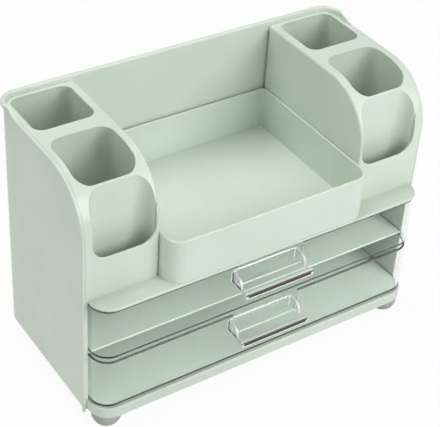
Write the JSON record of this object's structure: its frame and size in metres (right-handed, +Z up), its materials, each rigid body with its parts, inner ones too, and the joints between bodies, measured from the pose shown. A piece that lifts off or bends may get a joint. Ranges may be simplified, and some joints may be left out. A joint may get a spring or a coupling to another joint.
{
  "type": "desktop organizer with drawers",
  "caption": "Desktop make-up or stationery organizer: curved pocket towers beside an open bin, over clear sliding drawers with scoop pulls, on short domed feet.",
  "frame": {"origin": "on the floor, under the middle of the overall footprint, feet at z = 0", "axes": "X across the front, to the right as the user sees it; Y from front to back; Z up"},
  "size_m": [0.3756, 0.2008, 0.2692],
  "materials": {
    "mint_plastic": "pale mint moulded plastic, satin gloss",
    "mint_plastic_inner": "pale mint moulded plastic, satin gloss, inside pieces",
    "clear_plastic": "clear moulded plastic, polished",
    "grey_rubber": "light grey soft rubber, matt",
    "screw_steel": "zinc plated steel"
  },
  "bodies": {
    "case": {"base": "mint_plastic", "left_cover": "mint_plastic", "right_cover": "mint_plastic", "back_panel": "mint_plastic", "left_liner": "mint_plastic_inner", "right_liner": "mint_plastic_inner", "mid_shelf": "mint_plastic_inner", "deck": "mint_plastic", "center_bin": "mint_plastic", "left_tower": "mint_plastic", "right_tower": "mint_plastic", "front_left_foot": "grey_rubber", "front_right_foot": "grey_rubber", "rear_left_foot": "grey_rubber", "rear_right_foot": "grey_rubber", "tower_screws": "screw_steel"},
    "upper_drawer_unit": {"upper_drawer": "clear_plastic", "upper_pull": "clear_plastic"},
    "lower_drawer_unit": {"lower_drawer": "clear_plastic", "lower_pull": "clear_plastic"}
  },
  "joints": [
    {"name": "upper_drawer_slide", "type": "slide", "parent": "case", "child": "upper_drawer_unit", "axis": [0, -1, 0], "range_m": [0, 0.125]},
    {"name": "lower_drawer_slide", "type": "slide", "parent": "case", "child": "lower_drawer_unit", "axis": [0, -1, 0], "range_m": [0, 0.125]}
  ]
}
